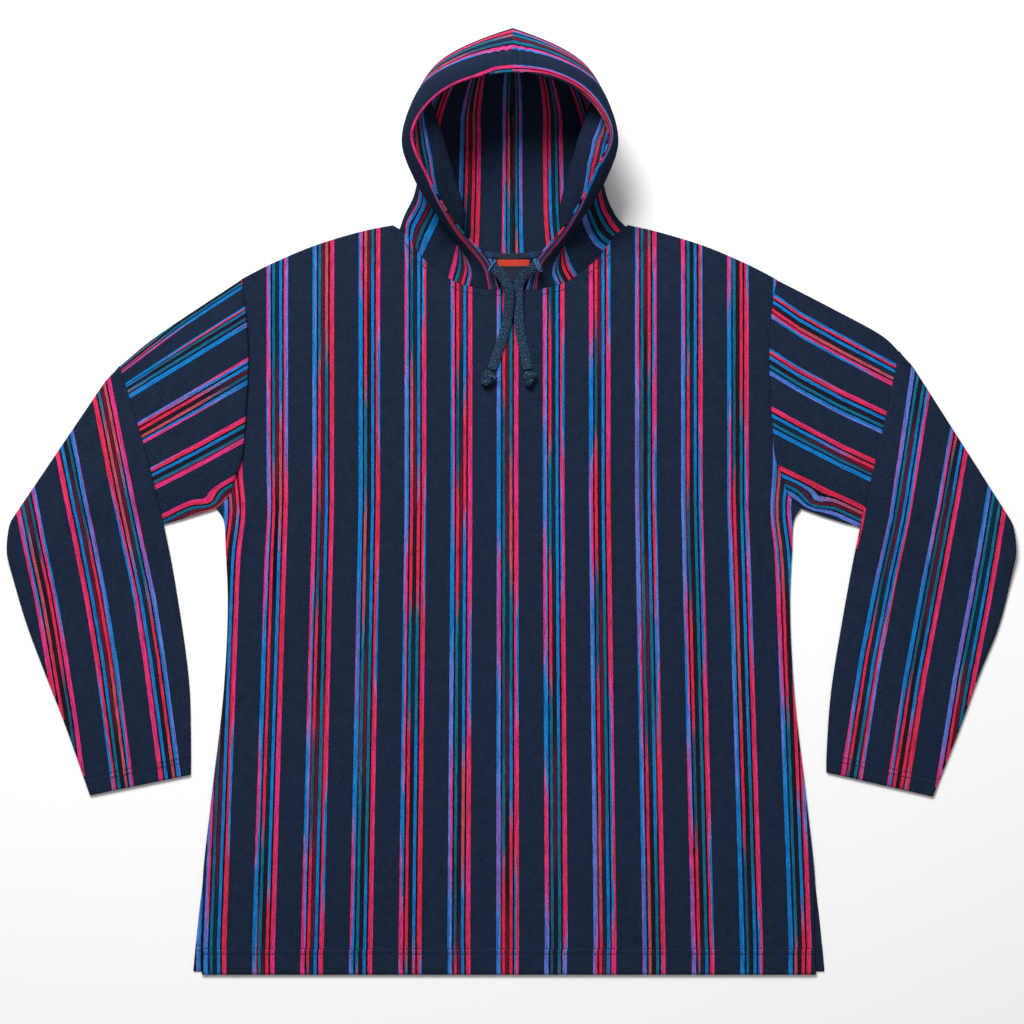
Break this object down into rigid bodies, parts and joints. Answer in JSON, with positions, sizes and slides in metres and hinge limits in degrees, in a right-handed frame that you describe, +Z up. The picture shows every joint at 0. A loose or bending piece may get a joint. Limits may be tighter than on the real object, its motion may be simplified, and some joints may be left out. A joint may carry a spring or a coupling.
{
  "type": "poncho hoodie laid flat",
  "caption": "Wide striped cotton hoodie laid on its back, front over back, sleeves folded over at the elbow, hood open and standing up, side vents, drawcord ends lying on the chest.",
  "frame": {"origin": "centre of the garment's outline on the surface that it lies on", "axes": "+X across the chest to the right of the picture, +Y from the hem to the hood, +Z up from the surface"},
  "size_m": [1.0557, 0.9857, 0.1127],
  "materials": {
    "striped_cloth": "brushed cotton, navy ground with groups of space-dyed pink, red, blue, teal and violet stripes",
    "tape": "black-navy twill tape",
    "label": "plain woven label, dark ground, orange-red top band",
    "braid": "flat braided cotton, dark teal"
  },
  "bodies": {
    "root": {"body_front": "striped_cloth", "body_back": "striped_cloth", "sleeve_left": "striped_cloth", "sleeve_right": "striped_cloth", "hood_left": "striped_cloth", "hood_right": "striped_cloth", "neck_tape": "tape", "label": "label", "drawcord_left": "braid", "drawcord_right": "braid", "knot_left": "braid", "knot_right": "braid"}
  },
  "joints": []
}
